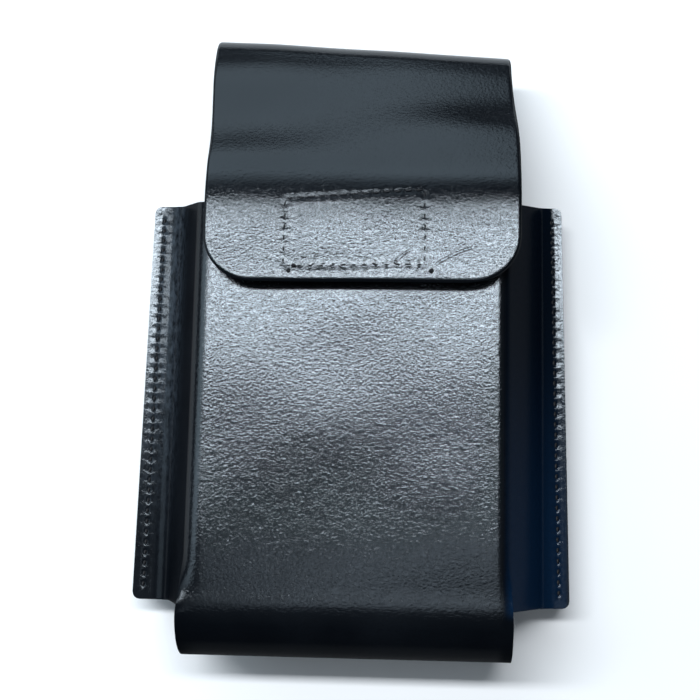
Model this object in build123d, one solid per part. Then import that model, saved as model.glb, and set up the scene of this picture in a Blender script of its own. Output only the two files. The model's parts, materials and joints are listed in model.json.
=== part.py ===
from build123d import *
from math import acos, atan2, cos, degrees, hypot, radians, sin, tan
import os

# Leather belt case for a pocket radio, lying on its back.
# +Z is the outward normal of the front face, +Y runs towards the fold of the flap,
# and the origin is under the middle of the case, on the plane of the belt loop.

# ---- leather and thread ----
LEATHER = 2.0            # thickness of the case leather
LOOP_LEATHER = 2.2       # thickness of the belt-loop strap
THREAD = 0.8             # width of a stitch
THREAD_RISE = 0.5        # height of a stitch, sunk flush in its groove
NEEDLE_HOLE = 0.7        # diameter of a needle hole
STITCH_PITCH = 2.76      # nine stitches to the inch
SEAM_END_MARGIN = 2.6    # first and last needle hole from the end of an edge

# ---- pocket ----
POCKET_LENGTH = 106.75   # length of the sewn side flanges
MOUTH_WIDTH = 111.6      # over the flanges at the mouth
FOOT_WIDTH = 114.8       # over the flanges at the foot
POCKET_DEPTH = 24.0      # clear depth between the back and the face
RIDGE_X = 38.8           # middle of the leather where the face turns into a side wall
VALLEY_X = 48.8          # middle of the leather where a side wall turns into a flange
RIDGE_RADIUS = 7.0
VALLEY_RADIUS = 4.0
MOUTH_DIP = 2.0          # how far the mouth edge dips in the middle
MOUTH_SPAN = 96.0        # width of that dip
FLANGE_CORNER = 2.0      # rounded corners of the flanges
SIDE_SEAM_INSET = 2.75   # side stitches from the flange edge

# ---- foot strip: the tail of the front panel, turned under and sewn to the back ----
FOOT_STRIP_WIDTH = 83.0
FOOT_REACH = 13.1        # how far the bend reaches past the flanges
FOOT_LAP = 13.0          # length of the tail that lies on the back panel
FOOT_SEAM_INSET = 3.5    # tail stitches from its cut end
BACK_EDGE_GAP = 0.8      # back panel's cut edge clear of the bend

# ---- flap ----
FLAP_WIDTH = 80.0
FLAP_RISE = 35.25        # flat length of the strip above the flanges, up to the fold
FOLD_RADIUS = 8.0        # outer radius of the fold
FLAP_OPENING = 50.0      # turn of each of the three fold hinges, in degrees
CREASE_ABOVE_FLANGE = 0.25   # crease of the flap above the end of the flanges
TONGUE_LENGTH = 27.0     # from the crease to the free edge
TONGUE_CORNER = 12.5     # corner radius of the free edge
TONGUE_EDGE_ROUND = 0.4  # burnished cut edges

# ---- closure patches: hook tape under the tongue, loop tape on the face ----
PATCH_LENGTH = 38.0
PATCH_WIDTH = 20.0
PATCH_CORNER = 1.0
PATCH_STITCH_INSET = 1.0
PATCH_BELOW_CREASE = 3.8     # top of the patches from the crease
LOOP_TAPE = 1.4
HOOK_TAPE = 1.2
CLOSURE_GAP = 0.2        # hooks and loops of a closed patch mesh across this gap

# ---- belt loop ----
LOOP_WIDTH = 52.0
LOOP_LENGTH = 84.0
LOOP_FOOT = 11.0         # sewn length at each end
LOOP_RAMP = 4.5          # length over which the strap climbs away from the back
LOOP_GAP = 5.0           # clear gap for the belt
LOOP_ABOVE_LAP = 3.0     # lower end of the strap above the turned-under tail
LOOP_CORNER = 4.0
LOOP_BEND_RADIUS = 2.4
LOOP_STITCH_INSET = 2.4

# ---- levels and stations that follow from these ----
CASE_BACK = LOOP_LEATHER + LOOP_GAP                  # outer surface of the back panel
FLANGE_TOP = CASE_BACK + 2 * LEATHER
FACE_TOP = CASE_BACK + 2 * LEATHER + POCKET_DEPTH    # outer surface of the face
HOOK_FACE = FACE_TOP + LOOP_TAPE + CLOSURE_GAP
TONGUE_TOP = HOOK_FACE + HOOK_TAPE + LEATHER
FOOT_RADIUS = (FACE_TOP - CASE_BACK + LEATHER) / 2   # outer radius of the foot bend
LENGTH = FOOT_REACH + POCKET_LENGTH + FLAP_RISE + FOLD_RADIUS
FOOT = FOOT_REACH - LENGTH / 2                       # Y of the foot of the flanges
MOUTH = FOOT + POCKET_LENGTH
FOLD_Y = MOUTH + FLAP_RISE
CREASE_Y = MOUTH + CREASE_ABOVE_FLANGE
TONGUE_END = CREASE_Y - TONGUE_LENGTH
FOOT_BEND_Y = FOOT - FOOT_REACH + FOOT_RADIUS
PATCH_Y = CREASE_Y - PATCH_BELOW_CREASE - PATCH_WIDTH / 2
LOOP_Y = FOOT_BEND_Y + FOOT_LAP + LOOP_ABOVE_LAP + LOOP_LENGTH / 2

# the fold is an arc that leaves the back strip and runs on, tangent, to the crease
FOLD_CENTRE = (FOLD_Y, CASE_BACK + FOLD_RADIUS)
CREASE = (CREASE_Y, TONGUE_TOP)
SPAN = hypot(CREASE[0] - FOLD_CENTRE[0], CREASE[1] - FOLD_CENTRE[1])
FOLD_END = degrees(
    atan2(CREASE[1] - FOLD_CENTRE[1], CREASE[0] - FOLD_CENTRE[0]) - acos(FOLD_RADIUS / SPAN)
)
FOLD_MIDDLE = (FOLD_END - 90) / 2


def slab(x0, x1, y0, y1, z0, z1):
    """A box between two corners."""
    return Pos((x0 + x1) / 2, (y0 + y1) / 2, (z0 + z1) / 2) * Box(x1 - x0, y1 - y0, z1 - z0)


def strip_along_x(wire, thickness, width):
    """A leather strip: its middle line in the YZ plane, and its width along X."""
    return extrude(Plane.YZ * trace(wire, thickness), amount=width / 2, both=True)


def fold_point(radius, angle):
    """A point of the fold, as (Y, Z), at a radius and an angle from +Y."""
    y = FOLD_CENTRE[0] + radius * cos(radians(angle))
    z = FOLD_CENTRE[1] + radius * sin(radians(angle))
    return (y, z)


# ---- lockstitch ----
# The needle thread lies along the near side with a leg down every hole, the bobbin thread
# along the far side with a leg up every hole, and the two meet half way through.

def holes_between(start, end):
    """Needle holes along a straight line, evenly spaced at about the stitch pitch."""
    run = Vector(*end) - Vector(*start)
    count = max(1, round(run.length / STITCH_PITCH))
    return [Vector(*start) + run * (i / count) for i in range(count + 1)]


def thread_run(corners, surface, inwards, depth):
    """One thread of a seam: a sunk bar along the corners, with legs to half of the depth."""
    bar_z = surface + inwards * THREAD_RISE / 2
    leg_z = surface + inwards * depth / 4
    bars = []
    legs = []
    for start, end in zip(corners, corners[1:]):
        run = Vector(*end) - Vector(*start)
        middle = (Vector(*start) + Vector(*end)) / 2
        turn = degrees(atan2(run.Y, run.X))
        bar = Box(run.length + THREAD, THREAD, THREAD_RISE)
        bars.append(Pos(middle.X, middle.Y, bar_z) * Rot(0, 0, turn) * bar)
        for hole in holes_between(start, end)[: None if end != corners[0] else -1]:
            legs.append(Pos(hole.X, hole.Y, leg_z) * Cylinder(NEEDLE_HOLE / 2, depth / 2))
    return bars[0] + (bars[1:] + legs)


def lockstitch(corners, near, far):
    """Needle and bobbin threads of a seam through the layers from near to far."""
    inwards = 1 if far > near else -1
    depth = abs(far - near)
    needle = thread_run(corners, near, inwards, depth)
    bobbin = thread_run(corners, far, -inwards, depth)
    return needle, bobbin


def stitched_box(centre_y, length, width, inset):
    """Corners of a closed stitched rectangle, set in from the edge of a patch or strap."""
    x = length / 2 - inset
    y0 = centre_y - width / 2 + inset
    y1 = centre_y + width / 2 - inset
    return [(-x, y0), (x, y0), (x, y1), (-x, y1), (-x, y0)]


def side_corners(side):
    """Ends of a side seam, parallel to the tapering edge of the flange."""
    foot = (side * (FOOT_WIDTH / 2 - SIDE_SEAM_INSET), FOOT + SEAM_END_MARGIN)
    mouth = (side * (MOUTH_WIDTH / 2 - SIDE_SEAM_INSET), MOUTH - SEAM_END_MARGIN)
    return [foot, mouth]


def foot_corners():
    """Ends of the seam that holds the turned-under tail to the back."""
    x = FOOT_STRIP_WIDTH / 2 - SEAM_END_MARGIN
    y = FOOT_BEND_Y + FOOT_LAP - FOOT_SEAM_INSET
    return [(-x, y), (x, y)]


def loop_end_corners(end):
    """Stitched box at the upper (+1) or lower (-1) end of the belt loop."""
    centre = LOOP_Y + end * (LOOP_LENGTH - LOOP_FOOT) / 2
    return stitched_box(centre, LOOP_WIDTH, LOOP_FOOT, LOOP_STITCH_INSET)


PATCH_CORNERS = stitched_box(PATCH_Y, PATCH_LENGTH, PATCH_WIDTH, PATCH_STITCH_INSET)
LEFT_SEAM = lockstitch(side_corners(-1), FLANGE_TOP, CASE_BACK)
RIGHT_SEAM = lockstitch(side_corners(1), FLANGE_TOP, CASE_BACK)
FOOT_SEAM = lockstitch(foot_corners(), CASE_BACK - LEATHER, CASE_BACK + LEATHER)
UPPER_LOOP_SEAM = lockstitch(loop_end_corners(1), CASE_BACK - LOOP_LEATHER, CASE_BACK + LEATHER)
LOWER_LOOP_SEAM = lockstitch(loop_end_corners(-1), CASE_BACK - LOOP_LEATHER, CASE_BACK + LEATHER)
LOOP_TAPE_SEAM = lockstitch(PATCH_CORNERS, FACE_TOP + LOOP_TAPE, FACE_TOP - LEATHER)
HOOK_TAPE_SEAM = lockstitch(PATCH_CORNERS, TONGUE_TOP, HOOK_FACE)


# ---- leather ----

def flange_outline():
    """Plan of the pocket: sides that taper to the mouth, and rounded corners."""
    foot = FOOT_WIDTH / 2
    mouth = MOUTH_WIDTH / 2
    plan = Polygon((-foot, FOOT), (foot, FOOT), (mouth, MOUTH), (-mouth, MOUTH), align=None)
    return fillet(plan.vertices(), FLANGE_CORNER)


def front_panel():
    """Moulded face, side walls and flanges, with the tail that turns under the foot."""
    low = FLANGE_TOP - LEATHER / 2
    high = FACE_TOP - LEATHER / 2
    edge = FOOT_WIDTH / 2 + LEATHER
    section = FilletPolyline(
        (-edge, low), (-VALLEY_X, low), (-RIDGE_X, high),
        (RIDGE_X, high), (VALLEY_X, low), (edge, low),
        radius=[VALLEY_RADIUS, RIDGE_RADIUS, RIDGE_RADIUS, VALLEY_RADIUS],
    )
    moulded = Pos(0, MOUTH, 0) * extrude(Plane.XZ * trace(section, LEATHER), amount=POCKET_LENGTH)
    moulded &= Pos(0, 0, CASE_BACK) * extrude(flange_outline(), amount=FACE_TOP)
    dip = ThreePointArc((-MOUTH_SPAN / 2, MOUTH), (0, MOUTH - MOUTH_DIP), (MOUTH_SPAN / 2, MOUTH))
    cut = make_face([dip, Line(dip @ 1, dip @ 0)])
    moulded -= Pos(0, 0, CASE_BACK) * extrude(cut, amount=FACE_TOP)

    # below this station the face is the plain strip that bends round the foot
    strip_y = FOOT_BEND_Y + LEATHER
    half = FOOT_STRIP_WIDTH / 2
    moulded -= slab(-half, half, FOOT - LEATHER, strip_y, CASE_BACK, FACE_TOP + LEATHER)
    start = Line((strip_y, high), (FOOT_BEND_Y, high))
    bend = JernArc(start @ 1, start % 1, FOOT_RADIUS - LEATHER / 2, 180)
    tail = Line(bend @ 1, (FOOT_BEND_Y + FOOT_LAP, CASE_BACK - LEATHER / 2))
    strip = strip_along_x([start, bend, tail], LEATHER, FOOT_STRIP_WIDTH)
    return moulded + strip - [*LEFT_SEAM, *RIGHT_SEAM, *FOOT_SEAM, *LOOP_TAPE_SEAM]


def back_panel():
    """Flat back with its flanges, running on as the strip that carries the flap."""
    plan = flange_outline() + Pos(0, (FOOT + FOLD_Y) / 2) * Rectangle(FLAP_WIDTH, FOLD_Y - FOOT)
    under = FOOT_BEND_Y + BACK_EDGE_GAP
    plan -= Pos(0, (FOOT + under) / 2) * Rectangle(FOOT_STRIP_WIDTH + 2 * BACK_EDGE_GAP, under - FOOT)
    panel = Pos(0, 0, CASE_BACK) * extrude(plan, amount=LEATHER)
    return panel - [*LEFT_SEAM, *RIGHT_SEAM, *FOOT_SEAM, *UPPER_LOOP_SEAM, *LOWER_LOOP_SEAM]


def fold_segment(first, last):
    """Part of the fold between two angles."""
    middle = FOLD_RADIUS - LEATHER / 2
    arc = CenterArc(FOLD_CENTRE, middle, first, last - first)
    return strip_along_x(arc, LEATHER, FLAP_WIDTH)


def crease_miter():
    """Half angle by which the leather is cut back where the slope meets the tongue."""
    return radians(90 - FOLD_END) / 2


def flap_front():
    """Sloping part of the flap, from the fold to the crease."""
    outer = fold_point(FOLD_RADIUS, FOLD_END)
    inner = fold_point(FOLD_RADIUS - LEATHER, FOLD_END)
    crease_inner = (CREASE[0] + LEATHER * tan(crease_miter()), CREASE[1] - LEATHER)
    plan = make_face(Polyline(outer, CREASE, crease_inner, inner, close=True))
    return extrude(Plane.YZ * plan, amount=FLAP_WIDTH / 2, both=True)


def flap_tongue():
    """Free end of the flap, with its rounded corners, over the face."""
    start = CREASE[0] + LEATHER * tan(crease_miter())
    plan = Pos(0, (start + TONGUE_END) / 2) * Rectangle(FLAP_WIDTH, start - TONGUE_END)
    plan = fillet(plan.vertices().group_by(Axis.Y)[0], TONGUE_CORNER)
    sheet = Pos(0, 0, TONGUE_TOP - LEATHER) * extrude(plan, amount=LEATHER)
    top = sheet.faces().sort_by(Axis.Z)[-1]
    rim = top.edges().filter_by(lambda edge: edge.center().Y < CREASE_Y - THREAD)
    sheet = fillet(rim, TONGUE_EDGE_ROUND)
    wedge = make_face(Polyline(
        CREASE, (start + LEATHER, CREASE[1]), (start + LEATHER, CREASE[1] - LEATHER),
        (start, CREASE[1] - LEATHER), close=True,
    ))
    sheet -= extrude(Plane.YZ * wedge, amount=FLAP_WIDTH, both=True)
    return sheet - [*HOOK_TAPE_SEAM]


def tape(level, thickness, seam):
    """A stitched-on piece of closure tape."""
    plan = Pos(0, PATCH_Y) * RectangleRounded(PATCH_LENGTH, PATCH_WIDTH, PATCH_CORNER)
    return Pos(0, 0, level) * extrude(plan, amount=thickness) - [*seam]


def belt_loop():
    """Strap sewn to the back at both ends, standing off it in between."""
    half = LOOP_LENGTH / 2
    near = CASE_BACK - LOOP_LEATHER / 2
    far = LOOP_LEATHER / 2
    ramp = half - LOOP_FOOT - LOOP_RAMP
    line = FilletPolyline(
        (LOOP_Y - half, near), (LOOP_Y - half + LOOP_FOOT, near), (LOOP_Y - ramp, far),
        (LOOP_Y + ramp, far), (LOOP_Y + half - LOOP_FOOT, near), (LOOP_Y + half, near),
        radius=LOOP_BEND_RADIUS,
    )
    strap = strip_along_x(line, LOOP_LEATHER, LOOP_WIDTH)
    plan = Pos(0, LOOP_Y) * RectangleRounded(LOOP_WIDTH, LOOP_LENGTH, LOOP_CORNER)
    strap &= extrude(plan, amount=CASE_BACK)
    return strap - [*UPPER_LOOP_SEAM, *LOWER_LOOP_SEAM]


NODES = {
    "front_panel": front_panel(),
    "back_panel": back_panel(),
    "flap_bend_lower": fold_segment(-90, FOLD_MIDDLE),
    "flap_bend_upper": fold_segment(FOLD_MIDDLE, FOLD_END),
    "flap_front": flap_front(),
    "flap_tongue": flap_tongue(),
    "hook_patch": tape(HOOK_FACE, HOOK_TAPE, HOOK_TAPE_SEAM),
    "loop_patch": tape(FACE_TOP, LOOP_TAPE, LOOP_TAPE_SEAM),
    "belt_loop": belt_loop(),
    "left_seam_needle_thread": LEFT_SEAM[0],
    "left_seam_bobbin_thread": LEFT_SEAM[1],
    "right_seam_needle_thread": RIGHT_SEAM[0],
    "right_seam_bobbin_thread": RIGHT_SEAM[1],
    "foot_seam_needle_thread": FOOT_SEAM[0],
    "foot_seam_bobbin_thread": FOOT_SEAM[1],
    "belt_loop_upper_needle_thread": UPPER_LOOP_SEAM[0],
    "belt_loop_upper_bobbin_thread": UPPER_LOOP_SEAM[1],
    "belt_loop_lower_needle_thread": LOWER_LOOP_SEAM[0],
    "belt_loop_lower_bobbin_thread": LOWER_LOOP_SEAM[1],
    "loop_patch_needle_thread": LOOP_TAPE_SEAM[0],
    "loop_patch_bobbin_thread": LOOP_TAPE_SEAM[1],
    "hook_patch_needle_thread": HOOK_TAPE_SEAM[0],
    "hook_patch_bobbin_thread": HOOK_TAPE_SEAM[1],
}

os.makedirs("parts", exist_ok=True)
for name, shape in NODES.items():
    export_step(shape, f"parts/{name}.step")

hinges = {
    "fold start": fold_point(FOLD_RADIUS, -90),
    "fold middle": fold_point(FOLD_RADIUS, FOLD_MIDDLE),
    "fold end": fold_point(FOLD_RADIUS, FOLD_END),
    "crease": CREASE,
}
for name, (y, z) in hinges.items():
    print(f"hinge at the {name}: y {y:.3f}, z {z:.3f}")
print(f"fold angle {FOLD_END + 90:.2f}, three turns of {FLAP_OPENING} degrees")
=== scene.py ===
import json
from math import atan2, cos, exp, hypot, pi, radians, sin, sqrt, tan

import bpy
from mathutils import Matrix, Vector, noise


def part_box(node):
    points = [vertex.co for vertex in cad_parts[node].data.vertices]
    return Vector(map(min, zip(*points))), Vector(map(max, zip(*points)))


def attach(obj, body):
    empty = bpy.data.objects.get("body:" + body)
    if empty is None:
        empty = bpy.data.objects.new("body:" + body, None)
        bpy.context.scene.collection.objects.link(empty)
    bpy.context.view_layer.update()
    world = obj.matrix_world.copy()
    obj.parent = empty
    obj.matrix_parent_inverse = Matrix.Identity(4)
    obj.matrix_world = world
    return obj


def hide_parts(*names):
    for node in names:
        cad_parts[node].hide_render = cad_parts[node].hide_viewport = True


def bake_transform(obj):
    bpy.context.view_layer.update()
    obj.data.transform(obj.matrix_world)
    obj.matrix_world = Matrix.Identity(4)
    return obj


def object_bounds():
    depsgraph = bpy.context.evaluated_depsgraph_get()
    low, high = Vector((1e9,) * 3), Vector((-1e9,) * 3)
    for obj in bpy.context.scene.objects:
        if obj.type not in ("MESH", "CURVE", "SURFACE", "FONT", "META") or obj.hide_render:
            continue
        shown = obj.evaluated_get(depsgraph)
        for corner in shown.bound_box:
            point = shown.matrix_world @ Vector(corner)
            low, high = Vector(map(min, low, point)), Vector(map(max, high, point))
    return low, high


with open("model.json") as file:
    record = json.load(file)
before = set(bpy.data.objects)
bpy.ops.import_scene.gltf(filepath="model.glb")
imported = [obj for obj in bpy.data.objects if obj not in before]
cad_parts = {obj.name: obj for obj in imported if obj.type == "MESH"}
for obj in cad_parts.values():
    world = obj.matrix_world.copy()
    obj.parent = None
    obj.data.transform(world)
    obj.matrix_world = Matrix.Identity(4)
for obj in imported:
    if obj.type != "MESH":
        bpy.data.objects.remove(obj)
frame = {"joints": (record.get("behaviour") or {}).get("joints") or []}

# A black leather belt case with a fold-over flap. Every leather part starts as a flat blank,
# ruled into a grid, which is cut out, formed over the CAD levels and given its thickness.
# The grain side of a blank is on the right of its course, seen from +X.

MM = 0.001
CAD_BOX = [list(corner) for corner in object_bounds()]

# ---- levels and stations, read from the frame ----
FRONT_LOW, FRONT_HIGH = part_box("front_panel")
BACK_LOW, BACK_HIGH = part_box("back_panel")
STRAP_LOW, STRAP_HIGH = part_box("belt_loop")
TONGUE_LOW, TONGUE_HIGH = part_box("flap_tongue")
HOOK_LOW, HOOK_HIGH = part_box("hook_patch")
TAPE_LOW, TAPE_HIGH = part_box("loop_patch")
HINGE = {joint["name"]: joint["pos_m"] for joint in frame["joints"]}

LEATHER = BACK_HIGH[2] - BACK_LOW[2]
CASE_BACK = BACK_LOW[2]
FLANGE_TOP = CASE_BACK + 2 * LEATHER
FACE_TOP = FRONT_HIGH[2]
FOOT = BACK_LOW[1]
MOUTH = FRONT_HIGH[1]
FOOT_HALF = BACK_HIGH[0]
FLAP_HALF = TONGUE_HIGH[0]

# ---- dimensions that only the leather's form needs ----
MOUTH_TAPER = 1.6 * MM           # each flange edge comes in by this much at the mouth
FLANGE_CORNER = 2.0 * MM
SEAM_INSET = 2.75 * MM
SEAM_MARGIN = 2.6 * MM
PITCH = 2.76 * MM
RIDGE_X = (38.9 * MM, 39.6 * MM)     # left and right: face meets side wall
VALLEY_X = (48.2 * MM, 50.8 * MM)    # left and right: side wall meets flange
RIDGE_RADIUS = (5.5 * MM, 3.6 * MM)
VALLEY_RADIUS = (6.0 * MM, 4.5 * MM)
STRIP_HALF = 41.5 * MM
FLAP_SKEW = 0.066                # the hand-made fold runs higher on the left
FOLD_DRIFT = 1.5 * MM            # the flap leans to the right as it comes over
TONGUE_DRIFT = 3.0 * MM
TONGUE_CORNER = 12.5 * MM
CREASE_RADIUS = 36 * MM
BOX_DRIFT = 1.65 * MM            # the stitched box and its tape go with the tongue
CUT_EDGE = 0.45 * MM             # rounding of a cut edge of the leather
TAPE_EDGE = 0.25 * MM
RIM_ROUND = 1.0 * MM             # width of the burnished rim of the flap
RIM_DROP = 0.85 * MM


# ------------------------------------------------------------------ modelling helpers

def smoothstep(low, high, value):
    """0 below low, 1 above high, and an even S between."""
    t = min(max((value - low) / (high - low), 0.0), 1.0)
    return t * t * (3 - 2 * t)


def deselect_all():
    bpy.ops.object.select_all(action="DESELECT")


def make_active(piece):
    deselect_all()
    piece.select_set(True)
    bpy.context.view_layer.objects.active = piece


def apply_modifier(piece, kind, **settings):
    """Adds a modifier, sets it and applies it."""
    make_active(piece)
    modifier = piece.modifiers.new(kind.lower(), kind)
    for key, value in settings.items():
        setattr(modifier, key, value)
    bpy.ops.object.modifier_apply(modifier=modifier.name)


def in_edit_mode(piece, mode, picked, operator, **settings):
    """Selects what picked() says by place, and works one edit-mode operator on it."""
    make_active(piece)
    bpy.ops.object.mode_set(mode="EDIT")
    bpy.ops.mesh.select_mode(type=mode)
    bpy.ops.mesh.select_all(action="DESELECT")
    bpy.ops.object.mode_set(mode="OBJECT")
    parts = {"VERT": "vertices", "EDGE": "edges", "FACE": "polygons"}[mode]
    for part in getattr(piece.data, parts):
        part.select = picked(part)
    bpy.ops.object.mode_set(mode="EDIT")
    operator(**settings)
    bpy.ops.object.mode_set(mode="OBJECT")


def smooth(piece, angle=40):
    make_active(piece)
    bpy.ops.object.shade_smooth_by_angle(angle=radians(angle))


def join(name, pieces):
    """Joins the pieces into one."""
    make_active(pieces[0])
    for piece in pieces[1:]:
        piece.select_set(True)
    if len(pieces) > 1:
        bpy.ops.object.join()
    pieces[0].name = name
    pieces[0].data.name = name
    return pieces[0]


def steps(*stops):
    """Evenly divided stations: steps((0, 10, 1), (10, 20, 2)) goes by ones and then by twos."""
    stations = [stops[0][0]]
    for low, high, pitch in stops:
        count = max(1, round(abs(high - low) / pitch))
        stations += [low + (high - low) * (i + 1) / count for i in range(count)]
    return stations


def course(start, heading, runs):
    """A line in the YZ plane of (length, turn) runs. Returns place(d) -> (y, z, heading)."""
    def place(d):
        y, z = start
        angle = heading
        for length, turn in runs:
            step = min(d, length)
            if turn:
                radius = length / turn
                end = angle + turn * step / length
                y += radius * (sin(end) - sin(angle))
                z -= radius * (cos(end) - cos(angle))
                angle = end
            else:
                y += step * cos(angle)
                z += step * sin(angle)
            d -= step
            if d <= 0:
                break
        return y, z, angle
    return place


def leather(name, across, along, form, waste=None, finishes=(), edge=CUT_EDGE,
            thickness=LEATHER):
    """A blank of leather ruled at the stations across and along, cut, formed and thickened.

    form(u, v) gives the grain side's point, how much grain shows there and how glossy it is;
    waste(u, v) says which squares of the blank are cut away.
    """
    deselect_all()
    bpy.ops.mesh.primitive_grid_add(
        x_subdivisions=len(across) - 1, y_subdivisions=len(along) - 1, size=2)
    blank = bpy.context.object
    blank.name = name
    blank.data.name = name
    columns = len(across) - 1
    rows = len(along) - 1

    def station(co):
        return across[round((co[0] + 1) / 2 * columns)], along[round((co[1] + 1) / 2 * rows)]

    if waste:
        def cut_away(face):
            corners = [station(blank.data.vertices[i].co) for i in face.vertices]
            return waste(sum(c[0] for c in corners) / 4, sum(c[1] for c in corners) / 4)
        in_edit_mode(blank, "FACE", cut_away, bpy.ops.mesh.delete, type="FACE")

    grain = blank.data.attributes.new("grain", "FLOAT", "POINT")
    gloss = blank.data.attributes.new("gloss", "FLOAT", "POINT")
    for vertex in blank.data.vertices:
        point, grainy, glossy = form(*station(vertex.co))
        vertex.co = point
        grain.data[vertex.index].value = grainy
        gloss.data[vertex.index].value = glossy
    in_edit_mode(blank, "FACE", lambda face: True, bpy.ops.mesh.flip_normals)

    for finish in finishes:
        blank.data.materials.append(finish)
    apply_modifier(blank, "SOLIDIFY", thickness=thickness, offset=-1, use_even_offset=edge > 0,
                   material_offset=1, material_offset_rim=2)
    if edge:
        apply_modifier(blank, "BEVEL", width=edge, segments=3, limit_method="ANGLE",
                       angle_limit=radians(55), use_clamp_overlap=True)
    smooth(blank)
    return blank


POCKET_SINK = (0.03 * MM, 0.47 * MM)     # under a stitch's ends, and more under its middle
POCKET_WIDTH = 0.52 * MM
PUCKER = 0.09 * MM                       # raised beside the needle holes
PUCKER_OFF, PUCKER_WIDTH = 1.3 * MM, 0.6 * MM
SEAM_REACH = 3 * MM


def seam_relief(x, y, seams, depth=1.0):
    """Height of the leather near a seam: sunk under each stitch, puckered beside each hole."""
    height = 0.0
    for (x0, y0), (x1, y1) in seams:
        length = hypot(x1 - x0, y1 - y0)
        ux, uy = (x1 - x0) / length, (y1 - y0) / length
        along = (x - x0) * ux + (y - y0) * uy
        off = abs((y - y0) * ux - (x - x0) * uy)
        if off > SEAM_REACH or not -PITCH < along < length + PITCH:
            continue
        holes = max(1, round(length / PITCH))
        pitch = length / holes
        beyond = max(0.0, -along, along - length)
        fade = exp(-(beyond / (0.5 * MM)) ** 2)
        swell = 0.5 - 0.5 * cos(2 * pi * along / pitch)
        sunk = (POCKET_SINK[0] + POCKET_SINK[1] * swell ** 2) * exp(-(off / POCKET_WIDTH) ** 2)
        pucker = PUCKER * exp(-((off - PUCKER_OFF) / PUCKER_WIDTH) ** 2) * (1 - swell)
        height += (pucker - sunk) * fade * depth
    return height


def corner_loss(radius, from_end):
    """How much narrower a strip is near its end, where its corner is rounded."""
    inset = radius - min(max(from_end, 0.0), radius)
    return radius - sqrt(radius ** 2 - inset ** 2)


def corner_steps(radius):
    """Rows from the end of a strip through its rounded corner."""
    return [radius * (1 - cos(radians(a))) for a in (0, 25, 45, 65, 90)]


def unevenness(x, y, size, height):
    """Slow, shallow waves of hand-worked leather."""
    return height * noise.noise(Vector((x / size, y / size, 3.7)))


# ------------------------------------------------------------------ finishes

class Number:
    """A number in a material. Sums and products of it add Math nodes."""

    def __init__(self, finish, socket):
        self.finish = finish
        self.socket = socket

    def math(self, operation, *values):
        return self.finish.node("ShaderNodeMath", {"operation": operation}, *values)

    def __add__(self, other):
        return self.math("ADD", self, other)

    def __radd__(self, other):
        return self.math("ADD", other, self)

    def __sub__(self, other):
        return self.math("SUBTRACT", self, other)

    def __rsub__(self, other):
        return self.math("SUBTRACT", other, self)

    def __mul__(self, other):
        return self.math("MULTIPLY", self, other)

    def __rmul__(self, other):
        return self.math("MULTIPLY", other, self)

    def __truediv__(self, other):
        return self.math("DIVIDE", self, other)

    def __rtruediv__(self, other):
        return self.math("DIVIDE", other, self)

    def __pow__(self, other):
        return self.math("POWER", self, other)

    def __abs__(self):
        return self.math("ABSOLUTE", self)

    def between(self, low, high):
        """0 below low and 1 above high, with a smooth rise."""
        settings = {"interpolation_type": "SMOOTHSTEP"}
        return self.finish.node("ShaderNodeMapRange", settings, self, low, high)


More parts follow.
